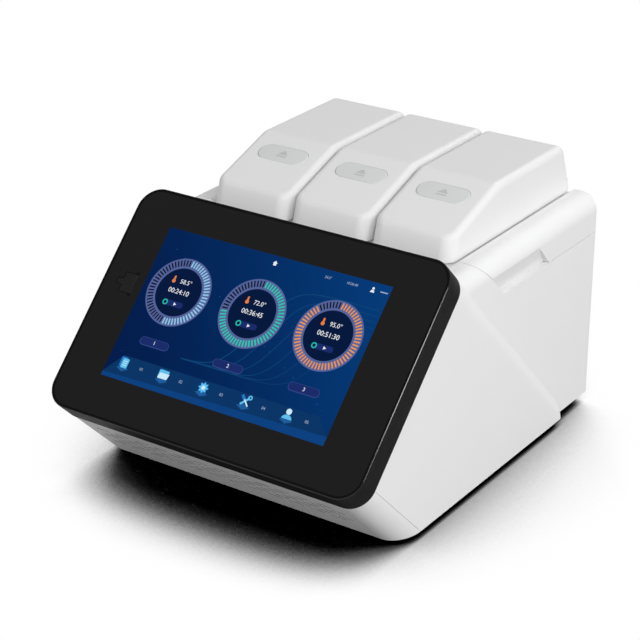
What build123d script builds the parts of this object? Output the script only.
"""Bench-top thermal cycler with three sample bays and a sloping touch display.

Millimetres. +Z is up, +X is the operator's right, the display faces -Y.
Origin: centre of the footprint, on the bench that the rubber feet stand on.
"""
from build123d import *
from math import acos, atan2, cos, degrees, pi, radians, sin, sqrt, tan
import os

os.makedirs("parts", exist_ok=True)

# Sample bays, side by side: they set the width of the machine
bay_n = 3
bay_pitch = 79.5
bay_y = 87.0             # middle of each sample block
well_cols, well_rows = 4, 8
well_pitch = 9.0
well_r, well_tip_r, well_depth = 2.9, 1.3, 15.0
well_sides = 10
block_w, block_l, block_h = 42.0, 78.0, 22.0
block_top_z = 190.0
block_edge = 0.8
collar_w, collar_l = 52.0, 88.0     # open top of the collar
collar_flange = 5.0
collar_t = 2.0
collar_fit = 0.5         # block to collar, each side
collar_skirt = 3.0       # collar below the top of the block
te_t = 3.8
te_width, te_length = 40.0, 38.0
te_gap = 1.0

# Casing
depth = 386.5            # front lower edge of the display to the rear face
side_margin = 26.55      # outermost bays to the side walls
deck_z = 199.0           # flat shoulders beside the lids
recess_d = 3.5           # floor under the lids, below the shoulders
recess_side = 0.3        # foot of the recess's sloping sides to the outermost bays
shoulder_r = 15.0        # deck to side wall
rear_edge = 1.2          # chamfer, rear face to side walls and deck
wall = 2.5               # moulded casing walls
front_skirt_z = 8.0      # lower edge of the front housing
rear_skirt_z = 10.5      # lower edge of the casing behind it
wing_in = 3.0            # front housing's side wings run past the foot of their straight flank
parting_z = 164.7        # top cover to lower housing
cover_front_v = 221.0    # front edge of the top cover, measured up the display's slope
seam = 0.3               # visible joint between two mouldings
rib_t, rib_h, rib_l = 1.8, 6.8, 160.0    # under the deck, between the bays
boss_w, boss_h, boss_in = 8.0, 14.0, 3.5  # bosses that take the top cover's screws
boss_rear = (16.25, 62.25)               # each pair's distance from the rear face

# Display slab
panel_over = 5.2         # beyond the side walls, each side
panel_len = 202.0        # up its slope
panel_t = 21.6
panel_r = 20.0
panel_tilt = 45.0        # from the bench
panel_z = 77.4           # height of its front lower edge
panel_wall = 3.0
reveal = 0.6             # housing drawn in behind the slab's edge
glass_rim = 2.5          # bezel left showing round the glass
glass_t = 2.0
front_wall_t = 3.0       # bezel wall that backs the glass
screen_v = 104.6         # middle of the display module, up the slope
lcd_w, lcd_h, lcd_t = 229.5, 149.0, 4.5   # 10.1 inch module, lit area 217 by 135.6
driver_w, driver_h, driver_t = 160.0, 60.0, 4.0
driver_down = 30.0       # driver board, below the middle of the module

# Port flap in the glass
flap_in = 25.7           # middle of the flap to the slab's left edge
flap_v = 115.8
flap_w, flap_h, flap_t = 12.4, 17.0, 1.6
flap_tab_w, flap_tab_h = 5.2, 5.0
flap_axle_r = 1.0
flap_pin_r = 0.5
flap_post_w = 1.6
flap_gap = 0.4
port_w, port_h, port_d = 5.7, 13.1, 14.0   # socket shell
port_sheet = 0.4
port_back = 1.5
port_plate_w, port_plate_h, port_plate_t = 16.0, 22.0, 1.5
tongue_w, tongue_side = 1.9, 0.5
tongue_off = 1.14        # contact tongue, to the right of the socket's middle

# Front chin
chin_row_n = 5
chin_slot_n = 12
chin_slot_l, chin_slot_w = 14.0, 1.6
chin_slot_pitch, chin_row_pitch = 20.0, 7.0
chin_row_mid = 34.0      # middle row, down from the slab

# Hand grips in the sides of the top cover
grip_depth = 6.0
grip_h = 19.7
grip_len = 77.4

# Heat sinks and fans
sink_base_w, sink_base_l, sink_base_t = 70.0, 118.0, 8.0
fin_n, fin_t, fin_pitch = 13, 1.6, 4.9
fin_l, fin_h = 104.0, 34.2
fan_w, fan_t = 60.0, 15.0
fan_hole_r = 28.5
rotor_r = 27.0
hub_r, hub_h = 11.0, 9.0
blade_n = 7
blade_t, blade_chord, blade_root = 1.4, 10.5, 1.0
blade_pitch_deg = 38.0
fan_post_r, fan_post_h = 2.0, 8.0
spider_t, spider_w, spider_turn_deg = 3.0, 3.0, 20.0

# Lids
lid_spacing = 2.2        # between neighbours
lid_front_y = -8.3
lid_gap = 1.2            # lid to the floor under it
lid_front_h = 20.9       # height of the front face
lid_front_lean = 6.3
slope_l = 70.75          # level length of the slope that carries the button
slope_rise = 23.8
lid_top_in = 12.75       # rear end of the flat top to the rear face
lid_wall = 2.4
lid_edge_r = 6.0
lid_corner_r = 12.0      # upright corners in front
lid_ridge_r, lid_rear_r = 16.0, 10.0
lid_inner_edge = 2.2
barrel_r = 8.0           # rounded rear lower edge, about the hinge
hinge_rear = 0.3         # barrel drawn in from the casing's rear face
hinge_pin_r = 2.0
lug_r, lug_t = 5.5, 8.0
lug_x = 24.0
lug_gap = 0.4
lug_plate_over = 4.0
knuckle_r = 6.6

# Button, latch and heated plate in each lid
button_l, button_w = 48.5, 20.0
button_y = 44.75
button_proud = 0.4
button_gap = 0.3
button_flange = 2.0
button_flange_t = 1.5
stem_r, stem_l = 4.0, 5.8
latch_y = 19.0
latch_w = 12.0
latch_t = 3.0
latch_axle_r = 2.0
latch_hub_r = 4.0
latch_ear_r = 4.0
latch_bite = 1.0
latch_barb_h = 3.0
latch_room = 2.0         # round the hook where it passes the liner and the deck
keeper_t, keeper_l, keeper_over = 2.0, 12.0, 8.0
keeper_gap = 0.8
ear_t = 3.0
liner_t = 2.0
liner_in = 1.2           # front of the liner behind the lid's front wall
liner_side = 0.6         # its sides inside the lid's side walls
heater_w, heater_l, heater_t = 48.0, 84.0, 6.0
heater_edge = 0.6
heater_rim = 3.0
heater_rim_t = 2.0
heater_gap = 0.7
heater_drop = 0.8        # underside of the liner to the underside of the heater, upwards

# Base and feet
base_t = 2.5
base_lip = 6.0
intake_y = 21.0
intake_n, intake_pitch, intake_w, intake_l = 6, 8.6, 3.6, 36.0
foot_r, foot_r_low = 11.0, 9.0
foot_x = 118.0
foot_front, foot_rear = 106.25, 27.25    # from the front edge and the rear face
screw_r, screw_head_r, screw_head_h = 1.5, 2.8, 1.7
screw_sides, screw_head_sides = 8, 10
screw_share = (0.1, 0.36, 0.64, 0.9)     # places along the chassis

# Chassis
sheet = 1.5
chassis_w = 236.0
chassis_l = 136.0
chassis_foot = 12.0
window_n, window_post, window_rail = 3, 12.0, 20.0

# Power supply
psu_w, psu_l, psu_h = 200.0, 95.0, 42.0
psu_rear = 85.25         # its middle to the rear face
psu_shelf_w, psu_shelf_h = 16.0, 14.0
psu_groove_n, psu_groove_pitch, psu_groove_w, psu_groove_d = 13, 12.0, 4.0, 1.2
psu_groove_end = 12.0
terminal_n, terminal_pitch = 7, 11.0
terminal_w, terminal_l, terminal_h = 10.0, 8.0, 9.0

# Control board
board_w, board_length, board_t = 210.0, 98.0, 1.6
board_front = 152.25     # its middle to the display's front edge
board_margin = 6.0       # standoffs from its edges
standoff_r, standoff_h = 3.5, 8.0
chip_w, chip_t = 24.0, 2.5
chip_places = ((-20.0, 8.0), (38.0, -14.0))
header_n, header_pitch = 6, 30.0
header_w, header_l, header_h, header_in = 20.0, 9.0, 11.0, 8.0
can_r, can_h, can_pitch = 6.5, 20.0, 24.0
can_place = (-78.0, -6.0)
relay_w, relay_l, relay_h, relay_pitch = 28.0, 18.0, 16.0, 26.0
relay_place = (80.0, 2.0)

# Rear panel
rear_open_w, rear_open_h = 250.0, 118.0
rear_open_z = 86.0
rear_open_r = 6.0
rear_lap = 6.0
vent_slot_w, vent_slot_h = 3.4, 34.0
vent_slot_n = 9
vent_pitch = 7.6
vent_z = 112.0

# Mains inlet
inlet_x, inlet_z = -95.0, 52.0
inlet_body_w, inlet_body_h, inlet_body_d = 27.4, 20.0, 18.8
inlet_flange_w, inlet_flange_h, inlet_flange_t, inlet_flange_r = 34.0, 25.0, 2.2, 3.0
inlet_hole_w, inlet_hole_h, inlet_hole_d, inlet_hole_cut = 24.0, 16.4, 17.0, 4.5
inlet_pin_w, inlet_pin_h, inlet_pin_l = 2.0, 4.0, 11.5
inlet_pin_x, inlet_pin_z = 7.0, 2.0      # side pins out and down, earth pin up

# Power switch
switch_x, switch_z = -58.0, 52.0
switch_body_w, switch_body_h, switch_body_d = 13.0, 19.2, 15.0
switch_flange_w, switch_flange_h, switch_flange_t, switch_flange_r = 16.0, 22.0, 1.8, 1.5
switch_pit = 10.0
rocker_w, rocker_l = 10.0, 15.2
rocker_end_gap = 0.6
rocker_ear_z, rocker_waist_z, rocker_foot_z = 1.5, 0.9, -3.5
rocker_foot_in = 1.4
rocker_swing = 16.0      # end to end, degrees
rocker_axle_r = 0.8
rocker_sunk = 2.2        # axle behind the face of the flange

# Fits
run_fit = 0.06           # radial, pin in a bore that turns on it
tight_fit = 0.02         # radial, pin held in its bore
slip = 0.2               # parts laid into one another
move_gap = 0.3           # beside anything that moves
past = 1.0               # how far a cut runs past a surface

# Worked out from them
body_w = bay_n * bay_pitch + 2 * side_margin
panel_w = body_w + 2 * panel_over
lid_w = bay_pitch - lid_spacing
front_y, rear_y = -depth / 2, depth / 2
tilt = radians(panel_tilt)
floor_z = deck_z - recess_d
deck_under_z = floor_z - wall
base_top_z = rear_skirt_z + base_t
bay_x = [bay_pitch * (i - (bay_n - 1) / 2) for i in range(bay_n)]
bay_names = "abcdefgh"[:bay_n]
far = 2 * depth          # longer than anything, for cuts that run right through
# The display's own plane: local x across it, local y up its slope, local z out of its face
panel = Plane(origin=(0, front_y, panel_z), x_dir=(1, 0, 0), z_dir=(0, -sin(tilt), cos(tilt)))
slab_back = panel.offset(-panel_t)


def slope_point(v, n):
    """Y and Z of a point v up the display's slope and n behind its face."""
    p = panel.from_local_coords((0, v, -n))
    return p.Y, p.Z


# The straight flank of the front form ends where its crease meets the skirt
crease_v = panel_len - panel_r
crease_n = crease_v + (panel_z - front_skirt_z) / cos(tilt)
wing_y = slope_point(crease_v, crease_n)[0] + wing_in


# Forms of the casing
def rear_form(inset, floor):
    """Casing behind the display, drawn in by inset: recessed deck, rounded shoulders, square rear."""
    half, top = body_w / 2 - inset, deck_z - inset
    rear = rear_y - inset
    radius = shoulder_r - inset
    foot_in = bay_n * bay_pitch / 2 + recess_side + inset * tan(radians(22.5))
    with BuildPart() as form:
        with BuildSketch(Plane.XZ.offset(-rear)):
            with BuildLine():
                Line((-half, floor), (half, floor))
                Line((half, floor), (half, top - radius))
                RadiusArc((half, top - radius), (half - radius, top), -radius)
                Polyline(
                    (half - radius, top), (foot_in + recess_d, top), (foot_in, top - recess_d),
                    (-foot_in, top - recess_d), (-foot_in - recess_d, top), (radius - half, top),
                )
                RadiusArc((radius - half, top), (-half, top - radius), -radius)
                Line((-half, top - radius), (-half, floor))
            make_face()
        extrude(amount=depth)
        if not inset:
            outline = form.faces().sort_by(Axis.Y)[-1].edges()
            chamfer(outline.filter_by(lambda e: e.center().Z > floor + past), rear_edge)
        # Cut on the slope so that it starts inside the front form and behind the slab
        low = slope_point(crease_v, panel_t + far)
        back = slope_point(crease_v, panel_t + inset + slip)
        high = slope_point(panel_len + far, panel_t + inset + slip)
        with BuildSketch(Plane.YZ):
            with BuildLine():
                Polyline(low, back, high, (high[0] + far, high[1]), (high[0] + far, low[1]), close=True)
            make_face()
        extrude(amount=far, both=True, mode=Mode.INTERSECT)
    return form.part


def front_form(inset, floor, start=0.0):
    """The slab's own outline carried straight back behind it, down to the skirt."""
    w, h = panel_w - 2 * (reveal + inset), panel_len - 2 * (reveal + inset)
    with BuildPart() as form:
        with BuildSketch(slab_back.offset(start)):
            with Locations((0, panel_len / 2)):
                RectangleRounded(w, h, panel_r - reveal - inset)
        extrude(amount=-depth)
        with BuildSketch(Plane.YZ):
            with Locations((wing_y - inset, floor)):
                Rectangle(far, 2 * far, align=(Align.MAX, Align.MIN))
        extrude(amount=far, both=True, mode=Mode.INTERSECT)
    return form.part


# Hand grip: a wedge, deepest at its ledge, whose ends follow the display's slope
seam_y, seam_z = slope_point(cover_front_v, panel_t)
seam_foot_y = seam_y + (seam_z - parting_z) / tan(tilt)


def grip_form(grow):
    """Both grips, grown by grow on the hidden side for the wall behind them."""
    half = body_w / 2
    run = 2 * grip_h / tan(tilt)
    with BuildPart() as form:
        with BuildSketch(Plane.XZ.offset(-rear_y)):
            with BuildLine():
                Polyline(
                    (half + wall, parting_z),
                    (half - grip_depth, parting_z),
                    (half, parting_z + grip_h),
                    (half + wall, parting_z + grip_h * (1 + wall / grip_depth)),
                    close=True,
                )
            make_face()
            if grow:
                offset(amount=grow, kind=Kind.INTERSECTION)
        extrude(amount=depth)
        with BuildSketch(Plane.YZ):
            y0, y1 = seam_foot_y - grow * 1.5, seam_foot_y + grip_len + grow * 1.5
            with BuildLine():
                Polyline(
                    (y0 + grip_h, parting_z - grip_h * tan(tilt)),
                    (y1 + grip_h, parting_z - grip_h * tan(tilt)),
                    (y1 - run, parting_z + run * tan(tilt)),
                    (y0 - run, parting_z + run * tan(tilt)),
                    close=True,
                )
            make_face()
        extrude(amount=far, both=True, mode=Mode.INTERSECT)
        mirror(about=Plane.YZ)
    return form.part


# Whole casing as one shell, open below and towards the slab; the mouldings are cut from it
with BuildPart() as case:
    add(front_form(0, front_skirt_z))
    add(rear_form(0, rear_skirt_z))
    add(front_form(wall, front_skirt_z - far, start=past), mode=Mode.SUBTRACT)
    add(rear_form(wall, rear_skirt_z - far), mode=Mode.SUBTRACT)

with BuildPart() as grip_pads:
    add(grip_form(wall))
    add(rear_form(wall / 2, rear_skirt_z), mode=Mode.INTERSECT)

with BuildPart() as grips:
    add(grip_form(0))


def cover_zone(gap):
    """Everything above the parting line and behind the sloping seam."""
    top = deck_z + wall
    with BuildPart() as zone:
        with BuildSketch(Plane.YZ):
            with BuildLine():
                Polyline(
                    (seam_foot_y, parting_z),
                    (seam_foot_y - (top - parting_z) / tan(tilt), top),
                    (rear_y + wall, top),
                    (rear_y + wall, parting_z),
                    close=True,
                )
            make_face()
            if gap:
                offset(amount=-gap, kind=Kind.INTERSECTION)
        extrude(amount=body_w, both=True)
    return zone.part


def chin_zone(gap):
    """The lower band of the front housing, round its corners as far as the flat sides."""
    with BuildPart() as zone:
        with BuildSketch(Plane.YZ):
            with BuildLine():
                Polyline(
                    slope_point(-wall, panel_t - wall),
                    slope_point(panel_r - gap, panel_t - wall),
                    slope_point(panel_r - gap, panel_t + depth),
                    slope_point(-wall, panel_t + depth),
                    close=True,
                )
            make_face()
        extrude(amount=panel_w, both=True)
    return zone.part


# Mouldings of the casing
rear_plane = Plane(origin=(0, rear_y, 0), x_dir=(-1, 0, 0), z_dir=(0, 1, 0))
hinge_y = rear_y - hinge_rear - barrel_r

with BuildPart() as main_housing:
    add(case.part)
    add(grip_pads.part)
    add(cover_zone(0), mode=Mode.SUBTRACT)
    add(chin_zone(0), mode=Mode.SUBTRACT)
    # opening for the rear panel, which lies against the inside of the wall
    with BuildSketch(rear_plane):
        with Locations((0, rear_open_z)):
            RectangleRounded(rear_open_w, rear_open_h, rear_open_r)
    extrude(amount=-2 * wall, mode=Mode.SUBTRACT)
    # bosses that take the top cover's screws
    boss_x = body_w / 2 - wall - boss_in
    with BuildSketch(Plane.XY.offset(parting_z - boss_h)):
        with Locations(*[(sx * boss_x, rear_y - y) for sx in (-1, 1) for y in boss_rear]):
            Rectangle(boss_w, boss_w)
    extrude(amount=boss_h)
main_housing.part.label = "main_housing"

with BuildPart() as front_chin:
    add(case.part)
    add(chin_zone(seam), mode=Mode.INTERSECT)
    # staggered vent slots through the face that looks down and forward
    chin_y, chin_z = slope_point(reveal, panel_t)
    chin_face = Plane(
        origin=(0, chin_y, chin_z), x_dir=(1, 0, 0), z_dir=(0, -cos(tilt), -sin(tilt))
    )
    with BuildSketch(chin_face):
        for row in range(chin_row_n):
            shift = (row % 2 - 0.5) * chin_slot_pitch / 2
            down = chin_row_mid + (row - (chin_row_n - 1) / 2) * chin_row_pitch
            with Locations((shift, -down)):
                with GridLocations(chin_slot_pitch, 1, chin_slot_n, 1):
                    Rectangle(chin_slot_l, chin_slot_w)
    extrude(amount=-2 * wall, mode=Mode.SUBTRACT)
front_chin.part.label = "front_chin"

with BuildPart() as top_cover:
    add(case.part)
    add(grip_pads.part)
    add(cover_zone(seam), mode=Mode.INTERSECT)
    add(grips.part, mode=Mode.SUBTRACT)
    with BuildSketch(Plane.XY.offset(floor_z)):
        for x in bay_x:
            with Locations((x, bay_y)):
                Rectangle(collar_w, collar_l)
            with Locations((x, latch_y)):
                Rectangle(latch_w + 2 * latch_room, 4 * latch_t)
            with Locations((x - lug_x, hinge_y), (x + lug_x, hinge_y)):
                Rectangle(lug_t + 2 * slip, 2 * (lug_r + slip))
    extrude(amount=-2 * wall, mode=Mode.SUBTRACT)
    # stiffening ribs under the deck, between the bays
    with BuildSketch(Plane.XY.offset(deck_under_z)):
        for x0, x1 in zip(bay_x[:-1], bay_x[1:]):
            with Locations(((x0 + x1) / 2, rear_y - wall)):
                Rectangle(rib_t, rib_l, align=(Align.CENTER, Align.MAX))
    extrude(amount=-rib_h)
top_cover.part.label = "top_cover"

chassis_y0, chassis_y1 = bay_y - chassis_l / 2, bay_y + chassis_l / 2
foot_screw_x = chassis_w / 2 + chassis_foot / 2
foot_screws = [(s * foot_screw_x, chassis_y0 + chassis_l * f) for s in (-1, 1) for f in screw_share]
board_y = front_y + board_front

with BuildPart() as base_pan:
    add(front_form(wall + slip, rear_skirt_z))
    add(rear_form(wall + slip, rear_skirt_z))
    with BuildSketch(Plane.XY.offset(rear_skirt_z)):
        Rectangle(far, far)
    extrude(amount=base_t + base_lip, mode=Mode.INTERSECT)
    add(front_form(wall + slip + sheet, base_top_z, start=-2 * wall), mode=Mode.SUBTRACT)
    add(rear_form(wall + slip + sheet, base_top_z), mode=Mode.SUBTRACT)
    # air intake slots under each bay, and the holes of the chassis screws
    with BuildSketch(Plane.XY.offset(rear_skirt_z)):
        for x in bay_x:
            with Locations((x, intake_y)):
                with GridLocations(intake_pitch, 1, intake_n, 1):
                    Rectangle(intake_w, intake_l)
        with Locations(*foot_screws):
            RegularPolygon(screw_r + slip, screw_sides)
    extrude(amount=base_t, mode=Mode.SUBTRACT)
    # standoffs for the control board
    with BuildSketch(Plane.XY.offset(base_top_z)):
        with Locations((0, board_y)):
            with GridLocations(board_w - 2 * board_margin, board_length - 2 * board_margin, 2, 2):
                Circle(standoff_r)
    extrude(amount=standoff_h)
base_pan.part.label = "base_pan"

foot_y = (front_y + foot_front, rear_y - foot_rear)
with BuildPart() as rubber_feet:
    with BuildSketch():
        with Locations(*[(sx * foot_x, y) for sx in (-1, 1) for y in foot_y]):
            Circle(foot_r_low)
    extrude(amount=rear_skirt_z, taper=-degrees(atan2(foot_r - foot_r_low, rear_skirt_z)))
rubber_feet.part.label = "rubber_feet"

# Display slab
flap_u = flap_in - panel_w / 2
flap_axis_u = flap_u + flap_w / 2 - flap_axle_r
flap_axis = Plane(
    origin=panel.from_local_coords((flap_axis_u, flap_v, -flap_axle_r)),
    x_dir=(1, 0, 0), z_dir=panel.y_dir,
)
flap_post_v = flap_h / 2 + move_gap + flap_post_w / 2
glass_w, glass_h = panel_w - 2 * glass_rim, panel_len - 2 * glass_rim


def flap_outline(grow, posts=False):
    """The flap, its finger tab and, where asked, the room for the posts of its hinge."""
    with Locations((flap_u, flap_v)):
        Rectangle(flap_w + 2 * grow, flap_h + 2 * grow)
    with Locations((flap_u - (flap_w + flap_tab_w) / 2, flap_v)):
        Rectangle(flap_tab_w + 2 * grow, flap_tab_h + 2 * grow)
    if posts:
        with Locations((flap_axis_u, flap_v)):
            Rectangle(2 * (flap_axle_r + grow), flap_h + 2 * (move_gap + flap_post_w + slip))


with BuildPart() as display_bezel:
    with BuildSketch(slab_back):
        with Locations((0, panel_len / 2)):
            RectangleRounded(panel_w, panel_len, panel_r)
    extrude(amount=panel_t)
    with BuildSketch(panel):
        with Locations((0, panel_len / 2)):
            RectangleRounded(glass_w + 2 * slip, glass_h + 2 * slip, panel_r - glass_rim)
    extrude(amount=-glass_t, mode=Mode.SUBTRACT)
    with BuildSketch(slab_back):
        with Locations((0, panel_len / 2)):
            RectangleRounded(panel_w - 2 * panel_wall, panel_len - 2 * panel_wall, panel_r - panel_wall)
    extrude(amount=panel_t - glass_t - front_wall_t, mode=Mode.SUBTRACT)
    with BuildSketch(panel.offset(-glass_t)):
        with Locations((0, screen_v)):
            Rectangle(lcd_w + 2 * slip, lcd_h + 2 * slip)
        flap_outline(flap_gap)
    extrude(amount=-2 * front_wall_t, mode=Mode.SUBTRACT)
    # posts that carry the flap's hinge pins
    with BuildSketch(panel.offset(-glass_t)):
        with Locations((flap_axis_u, flap_v - flap_post_v), (flap_axis_u, flap_v + flap_post_v)):
            Rectangle(2 * flap_axle_r, flap_post_w)
    extrude(amount=glass_t)
    with BuildSketch(flap_axis):
        Circle(flap_pin_r + run_fit)
    extrude(amount=flap_post_v + flap_post_w / 2, both=True, mode=Mode.SUBTRACT)
display_bezel.part.label = "display_bezel"

with BuildPart() as touch_glass:
    with BuildSketch(panel):
        with Locations((0, panel_len / 2)):
            RectangleRounded(glass_w, glass_h, panel_r - glass_rim)
    extrude(amount=-glass_t)
    with BuildSketch(panel):
        flap_outline(flap_gap, posts=True)
    extrude(amount=-glass_t, mode=Mode.SUBTRACT)
touch_glass.part.label = "touch_glass"

with BuildPart() as lcd_module:
    with BuildSketch(panel.offset(-glass_t)):
        with Locations((0, screen_v)):
            Rectangle(lcd_w, lcd_h)
    extrude(amount=-lcd_t)
    # driver board and its shield on the back
    with BuildSketch(panel.offset(-glass_t - lcd_t)):
        with Locations((0, screen_v - driver_down)):
            Rectangle(driver_w, driver_h)
    extrude(amount=-driver_t)
lcd_module.part.label = "lcd_module"

with BuildPart() as usb_cover:
    with BuildSketch(panel.offset(-slip)):
        with Locations((flap_u - flap_axle_r / 2, flap_v)):
            Rectangle(flap_w - flap_axle_r, flap_h)
        with Locations((flap_u - (flap_w + flap_tab_w) / 2, flap_v)):
            Rectangle(flap_tab_w, flap_tab_h)
    extrude(amount=-flap_t)
    with BuildSketch(flap_axis):
        Circle(flap_axle_r)
    extrude(amount=flap_h / 2, both=True)
    with BuildSketch(flap_axis):
        Circle(flap_pin_r)
    extrude(amount=flap_post_v + flap_post_w / 2 - slip, both=True)
usb_cover.part.label = "usb_cover"

port_mouth = panel.offset(-glass_t - front_wall_t)
with BuildPart() as usb_socket:
    # plate against the back of the bezel wall, sheet-metal shell and its tongue
    with BuildSketch(port_mouth):
        with Locations((flap_u, flap_v)):
            Rectangle(port_plate_w, port_plate_h)
    extrude(amount=-port_plate_t)
    with BuildSketch(port_mouth):
        with Locations((flap_u, flap_v)):
            Rectangle(port_w, port_h)
    extrude(amount=-port_d)
    with BuildSketch(port_mouth):
        with Locations((flap_u, flap_v)):
            Rectangle(port_w - 2 * port_sheet, port_h - 2 * port_sheet)
    extrude(amount=port_back - port_d, mode=Mode.SUBTRACT)
    with BuildSketch(port_mouth.offset(-port_plate_t)):
        with Locations((flap_u + tongue_off, flap_v)):
            Rectangle(tongue_w, port_h - 2 * (port_sheet + tongue_side))
    extrude(amount=port_plate_t + port_back / 2 - port_d)
usb_socket.part.label = "usb_socket"

# One sample bay, about X = 0
bay = {}

with BuildPart(mode=Mode.PRIVATE) as well:
    # one tapered well, open at the top of the block
    with BuildSketch(Plane.XY.offset(block_top_z)):
        RegularPolygon(well_r, well_sides)
    with BuildSketch(Plane.XY.offset(block_top_z - well_depth)):
        RegularPolygon(well_tip_r, well_sides)
    loft(ruled=True)

with BuildPart() as well_block:
    with BuildSketch(Plane.XY.offset(block_top_z)):
        with Locations((0, bay_y)):
            Rectangle(block_w, block_l)
    extrude(amount=-block_h)
    chamfer(well_block.edges().group_by(Axis.Z)[-1], block_edge)
    with Locations((0, bay_y)):
        with GridLocations(well_pitch, well_pitch, well_cols, well_rows):
            add(well.part, mode=Mode.SUBTRACT)
bay["well_block"] = well_block

with BuildPart() as block_collar:
    with BuildSketch(Plane.XY.offset(deck_under_z)):
        with Locations((0, bay_y)):
            Rectangle(collar_w + 2 * collar_flange, collar_l + 2 * collar_flange)
    extrude(amount=-collar_t)
    # walls that run down round the block, with a funnel between deck and block
    with BuildSketch(Plane.XY.offset(deck_under_z)):
        with Locations((0, bay_y)):
            Rectangle(collar_w, collar_l)
    extrude(amount=block_top_z - collar_skirt - deck_under_z)
    with BuildSketch(Plane.XY.offset(deck_under_z)) as funnel_top:
        with Locations((0, bay_y)):
            Rectangle(collar_w - 2 * collar_fit, collar_l - 2 * collar_fit)
    with BuildSketch(Plane.XY.offset(block_top_z)) as funnel_foot:
        with Locations((0, bay_y)):
            Rectangle(block_w + 2 * collar_fit, block_l + 2 * collar_fit)
    loft(sections=[funnel_top.sketch, funnel_foot.sketch], ruled=True, mode=Mode.SUBTRACT)
    with BuildSketch(Plane.XY.offset(block_top_z)):
        with Locations((0, bay_y)):
            Rectangle(block_w + 2 * collar_fit, block_l + 2 * collar_fit)
    extrude(amount=-collar_skirt - past, mode=Mode.SUBTRACT)
bay["block_collar"] = block_collar

te_top_z = block_top_z - block_h
with BuildPart() as te_plates:
    with BuildSketch(Plane.XY.offset(te_top_z)):
        with Locations((0, bay_y)):
            with GridLocations(1, te_length + te_gap, 1, 2):
                Rectangle(te_width, te_length)
    extrude(amount=-te_t)
bay["te_plates"] = te_plates

sink_top_z = te_top_z - te_t
sink_seat_z = sink_top_z - sink_base_t
with BuildPart() as heatsink:
    with BuildSketch(Plane.XY.offset(sink_top_z)):
        with Locations((0, bay_y)):
            Rectangle(sink_base_w, sink_base_l)
    extrude(amount=-sink_base_t)
    with BuildSketch(Plane.XY.offset(sink_seat_z)):
        with Locations((0, bay_y)):
            with GridLocations(fin_pitch, 1, fin_n, 1):
                Rectangle(fin_t, fin_l)
    extrude(amount=-fin_h)
bay["heatsink"] = heatsink

fan_top_z = sink_seat_z - fin_h
fan_low_z = fan_top_z - fan_t
with BuildPart() as fan_frame:
    with BuildSketch(Plane.XY.offset(fan_low_z)):
        with Locations((0, bay_y)):
            Rectangle(fan_w, fan_w)
            Circle(fan_hole_r, mode=Mode.SUBTRACT)
    extrude(amount=fan_t)
    # four struts, the motor cup and the post that the rotor turns on
    with BuildSketch(Plane.XY.offset(fan_low_z)):
        with Locations((0, bay_y)):
            Circle(hub_r)
            for turn_deg in (spider_turn_deg, spider_turn_deg + 90):
                Rectangle(2 * (fan_hole_r + past), spider_w, rotation=turn_deg)
    extrude(amount=spider_t)
    with BuildSketch(Plane.XY.offset(fan_low_z + spider_t)):
        with Locations((0, bay_y)):
            Circle(fan_post_r)
    extrude(amount=fan_post_h)
bay["fan_frame"] = fan_frame

rotor_low_z = fan_low_z + spider_t + move_gap
with BuildPart() as fan_rotor:
    with BuildSketch(Plane.XY.offset(rotor_low_z)):
        with Locations((0, bay_y)):
            Circle(hub_r)
    extrude(amount=hub_h)
    # each blade is a pitched strip set into the hub
    for i in range(blade_n):
        turn = 2 * pi * i / blade_n
        outward = Plane(
            origin=(0, bay_y, rotor_low_z + hub_h / 2),
            x_dir=(-sin(turn), cos(turn), 0), z_dir=(cos(turn), sin(turn), 0),
        )
        with BuildSketch(outward.offset(hub_r - blade_root)):
            Rectangle(blade_chord, blade_t, rotation=blade_pitch_deg)
        extrude(amount=rotor_r - hub_r + blade_root)
    with BuildSketch(Plane.XY.offset(rotor_low_z)):
        with Locations((0, bay_y)):
            Circle(fan_post_r + run_fit)
    extrude(amount=fan_post_h, mode=Mode.SUBTRACT)
bay["fan_rotor"] = fan_rotor

# One lid, about X = 0
lid_z = floor_z + lid_gap
lid_front_top = (lid_front_y + lid_front_lean, lid_z + lid_front_h)
lid_ridge = (lid_front_top[0] + slope_l, lid_front_top[1] + slope_rise)
lid_top_rear = (rear_y - lid_top_in, lid_ridge[1])
hinge_z = lid_z + barrel_r
# The rear face is tangent to the barrel round the hinge
to_corner = (lid_top_rear[0] - hinge_y, lid_top_rear[1] - hinge_z)
corner_reach = sqrt(to_corner[0] ** 2 + to_corner[1] ** 2)
tangent_angle = atan2(to_corner[1], to_corner[0]) - acos(barrel_r / corner_reach)
tangent = (hinge_y + barrel_r * cos(tangent_angle), hinge_z + barrel_r * sin(tangent_angle))
lean = (tangent[0] - lid_top_rear[0]) / (lid_top_rear[1] - tangent[1])
lid_rear_foot = (tangent[0] + lean * (tangent[1] - lid_z), lid_z)
slope = atan2(slope_rise, slope_l)
button_z = lid_front_top[1] + (button_y - lid_front_top[0]) * tan(slope)
# Plane of the slope at the button, and the same place seen from the side (x up the slope, y outward)
button_plane = Plane(
    origin=(0, button_y, button_z), x_dir=(1, 0, 0), z_dir=(0, -sin(slope), cos(slope))
)
button_side = Plane(
    origin=(0, button_y, button_z), x_dir=(0, cos(slope), sin(slope)), z_dir=(1, 0, 0)
)


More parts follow.
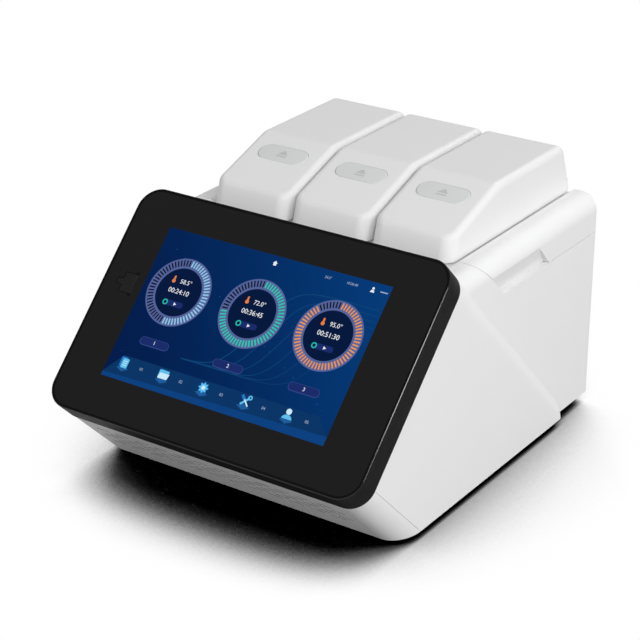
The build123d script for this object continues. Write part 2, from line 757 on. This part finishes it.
def lid_form(inset):
    """The lid's form, drawn in by inset: leaning front, slope, flat top, rounded corners and rim."""
    half = lid_w / 2 - inset
    with BuildPart() as form:
        with BuildSketch(Plane.YZ) as side:
            with BuildLine():
                Polyline(
                    (lid_front_y, lid_z), lid_front_top, lid_ridge, lid_top_rear, lid_rear_foot, close=True
                )
            make_face()
            for corner, radius in ((lid_ridge, lid_ridge_r), (lid_top_rear, lid_rear_r)):
                fillet(side.vertices().sort_by_distance(corner)[0], radius)
            if inset:
                offset(amount=-inset)
        extrude(amount=half, both=True)
        ends = form.edges().filter_by(lambda e: abs(abs(e.center().X) - half) < run_fit)
        fillet(ends.group_by(Axis.Y)[0], lid_corner_r - inset)
        upper = form.edges().filter_by(lambda e: e.center().Z > lid_z + 0.7 * lid_front_h)
        ends = upper.filter_by(lambda e: abs(abs(e.center().X) - half) < run_fit)
        front = upper.filter_by(lambda e: e.center().Y < lid_front_top[0] + lid_corner_r)
        if inset:
            chamfer(ends + front, lid_inner_edge)
        else:
            fillet(ends + front, lid_edge_r)
    return form.part


liner_y0 = lid_front_y + lid_wall + liner_in
liner_y1 = hinge_y - barrel_r - 2 * lid_gap
latch_n = lid_wall + button_gap + button_flange_t + stem_l + move_gap + latch_t / 2
latch_local = ((latch_y - button_y - latch_n * sin(slope)) / cos(slope), -latch_n)
latch_pivot = button_side.from_local_coords((*latch_local, 0))
ear_x = latch_w / 2 + 2 * slip


def lid_mouth(slack):
    """Open underside of the lid, which the liner fills, in the plan of the lid's rounded front."""
    border = lid_wall + liner_side + slack
    with Locations((0, (liner_y0 + liner_y1) / 2)):
        RectangleRounded(lid_w - 2 * border, liner_y1 - liner_y0 - 2 * slack, lid_corner_r - border)


with BuildPart() as lid_shell:
    add(lid_form(0))
    add(lid_form(lid_wall), mode=Mode.SUBTRACT)
    with BuildSketch(Plane.XY.offset(lid_z)):
        lid_mouth(0)
    extrude(amount=lid_wall, mode=Mode.SUBTRACT)
    with BuildSketch(button_plane):
        SlotOverall(button_l + 2 * button_gap, button_w + 2 * button_gap)
    extrude(amount=-3 * lid_wall, mode=Mode.SUBTRACT)
    # knuckles inside the side walls, for the hinge pin
    for side in (-1, 1):
        inner = lug_x + lug_t / 2 + lug_gap
        with BuildSketch(Plane.YZ.offset(side * inner)):
            with Locations((hinge_y, hinge_z)):
                Circle(knuckle_r)
        extrude(amount=side * (lid_w / 2 - lid_wall / 2 - inner))
    # rear lower corner rounded about the hinge
    with BuildSketch(Plane.YZ):
        with BuildLine():
            Polyline(
                (hinge_y, hinge_z), tangent, (tangent[0] + past, tangent[1]),
                (lid_rear_foot[0] + past, lid_z - past), (hinge_y, lid_z - past), close=True,
            )
        make_face()
        with Locations((hinge_y, hinge_z)):
            Circle(barrel_r, mode=Mode.SUBTRACT)
    extrude(amount=lid_w, both=True, mode=Mode.SUBTRACT)
    with BuildSketch(Plane.YZ):
        with Locations((hinge_y, hinge_z)):
            Circle(hinge_pin_r + tight_fit)
    extrude(amount=lid_w / 2 - lid_wall, both=True, mode=Mode.SUBTRACT)
    # room for the lugs while the lid swings round them
    with BuildSketch(Plane.XY.offset(lid_z - past)):
        with Locations(*[(s * lug_x, hinge_y - lug_r - lug_gap) for s in (-1, 1)]):
            Rectangle(lug_t + 2 * lug_gap, 4 * barrel_r, align=(Align.CENTER, Align.MIN))
    extrude(amount=hinge_z + lug_r + lug_gap - lid_z + past, mode=Mode.SUBTRACT)
bay["lid_shell"] = lid_shell

with BuildPart() as lid_liner:
    with BuildSketch(Plane.XY.offset(lid_z)):
        lid_mouth(slip)
        with Locations((0, bay_y)):
            Rectangle(heater_w + 2 * heater_gap, heater_l + 2 * heater_gap, mode=Mode.SUBTRACT)
        with Locations((0, latch_y)):
            Rectangle(latch_w + latch_room, 4 * latch_t, mode=Mode.SUBTRACT)
    extrude(amount=liner_t)
    # ears that carry the latch
    for side in (-1, 1):
        with BuildSketch(Plane.YZ.offset(side * ear_x)):
            with Locations((latch_y, lid_z)):
                Rectangle(2 * latch_ear_r, latch_pivot.Z - lid_z, align=(Align.CENTER, Align.MIN))
            with Locations((latch_y, latch_pivot.Z)):
                Circle(latch_ear_r)
                Circle(latch_axle_r + run_fit, mode=Mode.SUBTRACT)
        extrude(amount=side * ear_t)
bay["lid_liner"] = lid_liner

heater_z = lid_z + heater_drop
with BuildPart() as heated_plate:
    with BuildSketch(Plane.XY.offset(heater_z)):
        with Locations((0, bay_y)):
            Rectangle(heater_w, heater_l)
    extrude(amount=heater_t)
    with BuildSketch(Plane.XY.offset(lid_z + liner_t + 2 * slip)):
        with Locations((0, bay_y)):
            Rectangle(heater_w + 2 * heater_rim, heater_l + 2 * heater_rim)
    extrude(amount=heater_rim_t)
    chamfer(heated_plate.edges().group_by(Axis.Z)[0], heater_edge)
bay["heated_plate"] = heated_plate

flange_n = -(lid_wall + button_gap)
with BuildPart() as open_button:
    with BuildSketch(button_plane.offset(button_proud)):
        SlotOverall(button_l, button_w)
    extrude(amount=flange_n - button_proud)
    with BuildSketch(button_plane.offset(flange_n)):
        SlotOverall(button_l + 2 * button_flange, button_w + 2 * button_flange)
    extrude(amount=-button_flange_t)
    with BuildSketch(button_plane.offset(flange_n - button_flange_t)):
        Circle(stem_r)
    extrude(amount=-stem_l)
bay["open_button"] = open_button

keeper_y = latch_y + latch_t / 2 + keeper_gap
keeper_low_z = deck_under_z - keeper_t
barb_z = keeper_low_z - move_gap
with BuildPart() as latch_hook:
    # arm under the button's stem, parallel to the slope
    with BuildSketch(button_side):
        with Locations(latch_local):
            Rectangle(stem_r * 2 - latch_local[0], latch_t, align=(Align.MIN, Align.CENTER))
            Circle(latch_hub_r)
    extrude(amount=latch_w / 2, both=True)
    # hook that hangs through the deck and catches under the keeper
    with BuildSketch(Plane.YZ):
        with BuildLine():
            Polyline(
                (latch_y - latch_t / 2, latch_pivot.Z),
                (latch_y + latch_t / 2, latch_pivot.Z),
                (latch_y + latch_t / 2, barb_z),
                (keeper_y + latch_bite, barb_z),
                (latch_y, barb_z - latch_barb_h),
                (latch_y - latch_t / 2, barb_z - latch_barb_h),
                close=True,
            )
        make_face()
    extrude(amount=latch_w / 2, both=True)
    with BuildSketch(Plane.YZ):
        with Locations((latch_y, latch_pivot.Z)):
            Circle(latch_axle_r)
    extrude(amount=ear_x + ear_t, both=True)
bay["latch_hook"] = latch_hook

with BuildPart() as hinge_pin:
    with BuildSketch(Plane.YZ):
        with Locations((hinge_y, hinge_z)):
            Circle(hinge_pin_r)
    extrude(amount=lid_w / 2 - lid_wall - slip, both=True)
bay["hinge_pin"] = hinge_pin

with BuildPart() as hinge_bracket:
    with BuildSketch(Plane.XY.offset(deck_under_z)):
        with Locations((0, rear_y - wall - slip)):
            Rectangle(
                2 * (lug_x + lug_t / 2 + lug_plate_over), 2 * (lug_r + lug_plate_over),
                align=(Align.CENTER, Align.MAX),
            )
    extrude(amount=-keeper_t)
    for side in (-1, 1):
        with BuildSketch(Plane.YZ.offset(side * lug_x)):
            with Locations((hinge_y, deck_under_z - keeper_t)):
                Rectangle(2 * lug_r, hinge_z - deck_under_z + keeper_t, align=(Align.CENTER, Align.MIN))
            with Locations((hinge_y, hinge_z)):
                Circle(lug_r)
                Circle(hinge_pin_r + run_fit, mode=Mode.SUBTRACT)
        extrude(amount=lug_t / 2, both=True)
bay["hinge_bracket"] = hinge_bracket

with BuildPart() as latch_keeper:
    with BuildSketch(Plane.XY.offset(deck_under_z)):
        with Locations((0, keeper_y)):
            Rectangle(latch_w + 2 * keeper_over, keeper_l, align=(Align.CENTER, Align.MIN))
    extrude(amount=-keeper_t)
bay["latch_keeper"] = latch_keeper

for name, piece in bay.items():
    for letter, x in zip(bay_names, bay_x):
        copy = Pos(x, 0, 0) * piece.part
        copy.label = f"{name}_{letter}"
        export_step(copy, f"parts/{name}_{letter}.step")

# Chassis and what stands on the base
with BuildPart() as chassis_frame:
    with BuildSketch(Plane.XZ.offset(-chassis_y1)):
        with Locations((0, sink_seat_z)):
            Rectangle(chassis_w, sheet, align=(Align.CENTER, Align.MAX))
        for side, align in ((-1, Align.MIN), (1, Align.MAX)):
            with Locations((side * chassis_w / 2, base_top_z)):
                Rectangle(sheet, sink_seat_z - base_top_z, align=(align, Align.MIN))
            with Locations((side * (chassis_w / 2 + chassis_foot / 2 - sheet / 2), base_top_z)):
                Rectangle(chassis_foot + sheet, sheet, align=(Align.CENTER, Align.MIN))
    extrude(amount=chassis_l)
    with BuildSketch(Plane.XY.offset(sink_seat_z)):
        for x in bay_x:
            with Locations((x, bay_y)):
                Rectangle(fin_pitch * (fin_n - 1) + fin_t + 2 * past, fin_l + 2 * past)
    extrude(amount=-2 * sheet, mode=Mode.SUBTRACT)
    # air windows in both sides
    with BuildSketch(Plane.YZ):
        with Locations((bay_y, (base_top_z + sink_seat_z) / 2)):
            with GridLocations(chassis_l / window_n, 1, window_n, 1):
                Rectangle(chassis_l / window_n - window_post, sink_seat_z - base_top_z - 2 * window_rail)
    extrude(amount=body_w, both=True, mode=Mode.SUBTRACT)
    with BuildSketch(Plane.XY.offset(base_top_z)):
        with Locations(*foot_screws):
            RegularPolygon(screw_r + slip, screw_sides)
    extrude(amount=2 * sheet, mode=Mode.SUBTRACT)
chassis_frame.part.label = "chassis_frame"

psu_y = rear_y - psu_rear
psu_top = Plane.XY.offset(base_top_z + psu_h)
with BuildPart() as power_supply:
    with BuildSketch(Plane.XY.offset(base_top_z)):
        with Locations((0, psu_y)):
            Rectangle(psu_w, psu_l)
    extrude(amount=psu_h)
    # terminal shelf at one end, and a grooved cover
    with BuildSketch(psu_top):
        with Locations((-psu_w / 2, psu_y)):
            Rectangle(psu_shelf_w, psu_l, align=(Align.MIN, Align.CENTER))
    extrude(amount=psu_shelf_h - psu_h, mode=Mode.SUBTRACT)
    with BuildSketch(psu_top):
        with Locations((psu_shelf_w / 2, psu_y)):
            with GridLocations(psu_groove_pitch, 1, psu_groove_n, 1):
                Rectangle(psu_groove_w, psu_l - 2 * psu_groove_end)
    extrude(amount=-psu_groove_d, mode=Mode.SUBTRACT)
    with BuildSketch(Plane.XY.offset(base_top_z + psu_shelf_h)):
        with Locations((-psu_w / 2 + psu_shelf_w / 2, psu_y)):
            with GridLocations(1, terminal_pitch, 1, terminal_n):
                Rectangle(terminal_w, terminal_l)
    extrude(amount=terminal_h)
power_supply.part.label = "power_supply"

board_z = base_top_z + standoff_h
board_top = Plane.XY.offset(board_z + board_t)
with BuildPart() as control_board:
    with BuildSketch(Plane.XY.offset(board_z)):
        with Locations((0, board_y)):
            Rectangle(board_w, board_length)
    extrude(amount=board_t)
    with BuildSketch(board_top):
        with Locations((0, board_y)):
            with Locations(*chip_places):
                Rectangle(chip_w, chip_w)
    extrude(amount=chip_t)
    with BuildSketch(board_top):
        with Locations((0, board_y + board_length / 2 - header_in)):
            with GridLocations(header_pitch, 1, header_n, 1):
                Rectangle(header_w, header_l)
    extrude(amount=header_h)
    with BuildSketch(board_top):
        with Locations((can_place[0], board_y + can_place[1])):
            with GridLocations(1, can_pitch, 1, 2):
                Circle(can_r)
    extrude(amount=can_h)
    with BuildSketch(board_top):
        with Locations((relay_place[0], board_y + relay_place[1])):
            with GridLocations(1, relay_pitch, 1, 2):
                Rectangle(relay_w, relay_l)
    extrude(amount=relay_h)
control_board.part.label = "control_board"

# Rear panel, inlet and switch
panel_out_y = rear_y - wall
panel_out = Plane(origin=(0, panel_out_y, 0), x_dir=(-1, 0, 0), z_dir=(0, 1, 0))

with BuildPart() as rear_panel:
    with BuildSketch(panel_out):
        with Locations((0, rear_open_z)):
            RectangleRounded(rear_open_w + 2 * rear_lap, rear_open_h + 2 * rear_lap, rear_open_r)
        with Locations((-inlet_x, inlet_z)):
            Rectangle(inlet_body_w + 2 * slip, inlet_body_h + 2 * slip, mode=Mode.SUBTRACT)
        with Locations((-switch_x, switch_z)):
            Rectangle(switch_body_w + 2 * slip, switch_body_h + 2 * slip, mode=Mode.SUBTRACT)
        for x in bay_x:
            with Locations((-x, vent_z)):
                with GridLocations(vent_pitch, 1, vent_slot_n, 1):
                    Rectangle(vent_slot_w, vent_slot_h, mode=Mode.SUBTRACT)
    extrude(amount=-sheet)
rear_panel.part.label = "rear_panel"

with BuildPart() as power_inlet:
    with BuildSketch(panel_out):
        with Locations((-inlet_x, inlet_z)):
            RectangleRounded(inlet_flange_w, inlet_flange_h, inlet_flange_r)
    extrude(amount=inlet_flange_t)
    with BuildSketch(panel_out):
        with Locations((-inlet_x, inlet_z)):
            Rectangle(inlet_body_w, inlet_body_h)
    extrude(amount=-inlet_body_d)
    # six-sided cavity with its three blades
    inlet_mouth = panel_out.offset(inlet_flange_t)
    with BuildSketch(inlet_mouth) as mouth:
        with Locations((-inlet_x, inlet_z)):
            Rectangle(inlet_hole_w, inlet_hole_h)
        chamfer(mouth.vertices().group_by(Axis.Z)[-1], inlet_hole_cut)
    extrude(amount=-inlet_hole_d, mode=Mode.SUBTRACT)
    with BuildSketch(inlet_mouth.offset(-inlet_hole_d)):
        for pin_x, pin_z in ((-inlet_pin_x, -inlet_pin_z), (inlet_pin_x, -inlet_pin_z), (0, inlet_pin_z)):
            with Locations((pin_x - inlet_x, inlet_z + pin_z)):
                Rectangle(inlet_pin_w, inlet_pin_h)
    extrude(amount=inlet_pin_l)
power_inlet.part.label = "power_inlet"

rocker_y = panel_out_y + switch_flange_t - rocker_sunk
with BuildPart() as power_switch:
    with BuildSketch(panel_out):
        with Locations((-switch_x, switch_z)):
            RectangleRounded(switch_flange_w, switch_flange_h, switch_flange_r)
    extrude(amount=switch_flange_t)
    with BuildSketch(panel_out):
        with Locations((-switch_x, switch_z)):
            Rectangle(switch_body_w, switch_body_h)
    extrude(amount=-switch_body_d)
    with BuildSketch(panel_out.offset(switch_flange_t)):
        with Locations((-switch_x, switch_z)):
            Rectangle(rocker_w + 2 * move_gap, rocker_l + 2 * rocker_end_gap)
    extrude(amount=-switch_pit, mode=Mode.SUBTRACT)
    with BuildSketch(Plane.YZ.offset(switch_x)):
        with Locations((rocker_y, switch_z)):
            Circle(rocker_axle_r + run_fit)
    extrude(amount=switch_body_w / 2 - slip, both=True, mode=Mode.SUBTRACT)
power_switch.part.label = "power_switch"

rest_tilt = radians(rocker_swing / 2)
rocker_side = Plane(
    origin=(switch_x, rocker_y, switch_z),
    x_dir=(0, -sin(rest_tilt), cos(rest_tilt)), z_dir=(-1, 0, 0),
)
with BuildPart() as switch_rocker:
    with BuildSketch(rocker_side):
        with BuildLine():
            Polyline(
                (-rocker_l / 2, rocker_ear_z), (0, rocker_waist_z), (rocker_l / 2, rocker_ear_z),
                (rocker_l / 2 - rocker_foot_in, rocker_foot_z),
                (rocker_foot_in - rocker_l / 2, rocker_foot_z), close=True,
            )
        make_face()
    extrude(amount=rocker_w / 2, both=True)
    with BuildSketch(Plane.YZ.offset(switch_x)):
        with Locations((rocker_y, switch_z)):
            Circle(rocker_axle_r)
    extrude(amount=switch_body_w / 2 - 2 * slip, both=True)
switch_rocker.part.label = "switch_rocker"

with BuildPart() as case_screws:
    with BuildSketch(Plane.XY.offset(rear_skirt_z)):
        with Locations(*foot_screws):
            RegularPolygon(screw_head_r, screw_head_sides)
    extrude(amount=-screw_head_h)
    with BuildSketch(Plane.XY.offset(rear_skirt_z)):
        with Locations(*foot_screws):
            RegularPolygon(screw_r, screw_sides)
    extrude(amount=base_t + 2 * sheet)
case_screws.part.label = "case_screws"

for piece in (
    main_housing, front_chin, top_cover, base_pan, rubber_feet, display_bezel, touch_glass, lcd_module,
    usb_cover, usb_socket, chassis_frame, power_supply, control_board, rear_panel, power_inlet,
    power_switch, switch_rocker, case_screws,
):
    export_step(piece.part, f"parts/{piece.part.label}.step")
